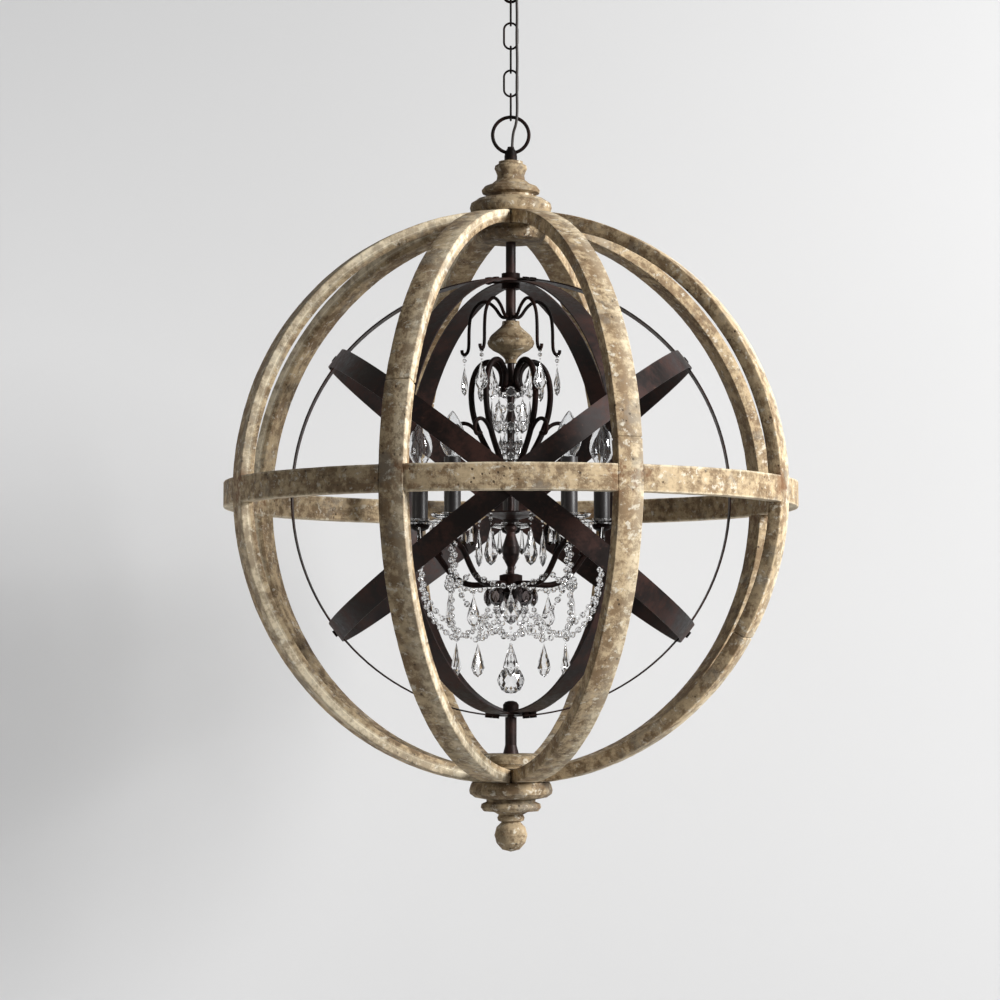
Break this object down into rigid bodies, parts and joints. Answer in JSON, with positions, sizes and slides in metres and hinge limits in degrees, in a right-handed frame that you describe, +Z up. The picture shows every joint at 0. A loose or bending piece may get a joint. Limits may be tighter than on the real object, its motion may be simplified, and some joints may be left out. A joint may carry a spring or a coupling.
{
  "type": "orb chandelier",
  "caption": "Wooden orb cage with an equator strip and nested steel strap hoops, holding a candle-style crystal chandelier, hung on a chain from a ceiling canopy",
  "frame": {"origin": "centre of the two screw holes of the ceiling bracket, on the ceiling plane", "axes": "+Z up, out of the room through the ceiling; -Y is the front; +X is to the right seen from the front"},
  "size_m": [0.7998, 0.7998, 1.2508],
  "materials": {
    "wood": "weathered whitewash with worm holes and rust stains",
    "bronze": "dark aged bronze paint, satin",
    "strap": "rust brown paint on flat steel strap",
    "crystal": "clear cut crystal",
    "sleeve": "dark candle sleeve",
    "socket": "black lamp holder",
    "bulb": "clear lamp glass",
    "steel": "zinc plated",
    "cord": "dark brown cord"
  },
  "bodies": {
    "ceiling_mount": {"ceiling_bracket": "steel", "bracket_nipple": "steel", "canopy_loop": "bronze", "power_cord": "cord"},
    "canopy": {"canopy": "bronze", "canopy_ring_nut": "bronze"},
    "link_1": {"chain_link_1": "bronze"},
    "link_2": {"chain_link_2": "bronze"},
    "link_3": {"chain_link_3": "bronze"},
    "link_4": {"chain_link_4": "bronze"},
    "link_5": {"chain_link_5": "bronze"},
    "bulb_1": {"bulb_1": "bulb"},
    "bulb_2": {"bulb_2": "bulb"},
    "bulb_3": {"bulb_3": "bulb"},
    "bulb_4": {"bulb_4": "bulb"},
    "bulb_5": {"bulb_5": "bulb"},
    "teardrop_1": {"teardrop_1": "crystal"},
    "teardrop_2": {"teardrop_2": "crystal"},
    "teardrop_3": {"teardrop_3": "crystal"},
    "teardrop_4": {"teardrop_4": "crystal"},
    "teardrop_5": {"teardrop_5": "crystal"},
    "crystal_ball": {"crystal_ball": "crystal"},
    "fixture": {"arm_hub": "bronze", "arm_scrolls": "bronze", "arms": "bronze", "bobeche_prisms": "crystal", "bobeches": "crystal", "bottom_finial": "wood", "bottom_hub_disc": "wood", "candle_cups": "bronze", "candle_sleeves": "sleeve", "centre_column": "bronze", "crown_canes": "bronze", "equator_hoop": "wood", "finial_stud": "steel", "hoop_fasteners": "bronze", "hoop_left": "strap", "hoop_right": "strap", "hoop_side": "strap", "hoop_tilted_down": "strap", "hoop_tilted_up": "strap", "inner_crystals": "crystal", "lamp_sockets": "socket", "lower_stem": "bronze", "lyre_scrolls": "bronze", "rib_1": "wood", "rib_2": "wood", "rib_3": "wood", "rib_4": "wood", "rib_5": "wood", "rib_6": "wood", "rib_7": "wood", "rib_8": "wood", "swags": "crystal", "top_cap": "wood", "top_hub_disc": "wood", "top_loop": "bronze", "top_nipple": "steel", "upper_stem": "bronze", "wood_bell": "wood"}
  },
  "joints": [
    {"name": "canopy_slide", "type": "slide", "parent": "ceiling_mount", "child": "canopy", "axis": [0, 0, -1], "range_m": [0, 0.025], "deforming": ["power_cord"]},
    {"name": "link_1_swing", "type": "hinge", "parent": "ceiling_mount", "child": "link_1", "pos_m": [0, 0, -0.058], "axis": [1, 0, 0], "range_deg": [-12, 12], "deforming": ["power_cord"]},
    {"name": "link_2_swing", "type": "hinge", "parent": "link_1", "child": "link_2", "pos_m": [0, 0, -0.0913], "axis": [0, 1, 0], "range_deg": [-12, 12], "deforming": ["power_cord"]},
    {"name": "link_3_swing", "type": "hinge", "parent": "link_2", "child": "link_3", "pos_m": [0, 0, -0.1251], "axis": [1, 0, 0], "range_deg": [-12, 12], "deforming": ["power_cord"]},
    {"name": "link_4_swing", "type": "hinge", "parent": "link_3", "child": "link_4", "pos_m": [0, 0, -0.1589], "axis": [0, 1, 0], "range_deg": [-12, 12], "deforming": ["power_cord"]},
    {"name": "link_5_swing", "type": "hinge", "parent": "link_4", "child": "link_5", "pos_m": [0, 0, -0.1927], "axis": [1, 0, 0], "range_deg": [-12, 12], "deforming": ["power_cord"]},
    {"name": "fixture_swing", "type": "hinge", "parent": "link_5", "child": "fixture", "pos_m": [0, 0, -0.2265], "axis": [0, 1, 0], "range_deg": [-12, 12], "deforming": ["power_cord"]},
    {"name": "bulb_1_turn", "type": "hinge", "parent": "fixture", "child": "bulb_1", "pos_m": [0.07935, -0.10922, -0.7278], "axis": [0, 0, 1], "continuous": true},
    {"name": "bulb_2_turn", "type": "hinge", "parent": "fixture", "child": "bulb_2", "pos_m": [0.12839, 0.04172, -0.7278], "axis": [0, 0, 1], "continuous": true},
    {"name": "bulb_3_turn", "type": "hinge", "parent": "fixture", "child": "bulb_3", "pos_m": [0, 0.135, -0.7278], "axis": [0, 0, 1], "continuous": true},
    {"name": "bulb_4_turn", "type": "hinge", "parent": "fixture", "child": "bulb_4", "pos_m": [-0.12839, 0.04172, -0.7278], "axis": [0, 0, 1], "continuous": true},
    {"name": "bulb_5_turn", "type": "hinge", "parent": "fixture", "child": "bulb_5", "pos_m": [-0.07935, -0.10922, -0.7278], "axis": [0, 0, 1], "continuous": true},
    {"name": "teardrop_1_swing", "type": "hinge", "parent": "fixture", "child": "teardrop_1", "pos_m": [0.07552, -0.02454, -0.9566], "axis": [0.309, 0.9511, 0], "range_deg": [-25, 25]},
    {"name": "teardrop_2_swing", "type": "hinge", "parent": "fixture", "child": "teardrop_2", "pos_m": [0.04668, 0.06424, -0.9566], "axis": [-0.809, 0.5878, 0], "range_deg": [-25, 25]},
    {"name": "teardrop_3_swing", "type": "hinge", "parent": "fixture", "child": "teardrop_3", "pos_m": [-0.04668, 0.06424, -0.9566], "axis": [-0.809, -0.5878, 0], "range_deg": [-25, 25]},
    {"name": "teardrop_4_swing", "type": "hinge", "parent": "fixture", "child": "teardrop_4", "pos_m": [-0.07552, -0.02454, -0.9566], "axis": [0.309, -0.9511, 0], "range_deg": [-25, 25]},
    {"name": "teardrop_5_swing", "type": "hinge", "parent": "fixture", "child": "teardrop_5", "pos_m": [0, -0.07941, -0.9566], "axis": [1, 0, 0], "range_deg": [-25, 25]},
    {"name": "ball_swing", "type": "hinge", "parent": "fixture", "child": "crystal_ball", "pos_m": [0, 0, -0.9362], "axis": [1, 0, 0], "range_deg": [-20, 20]}
  ]
}
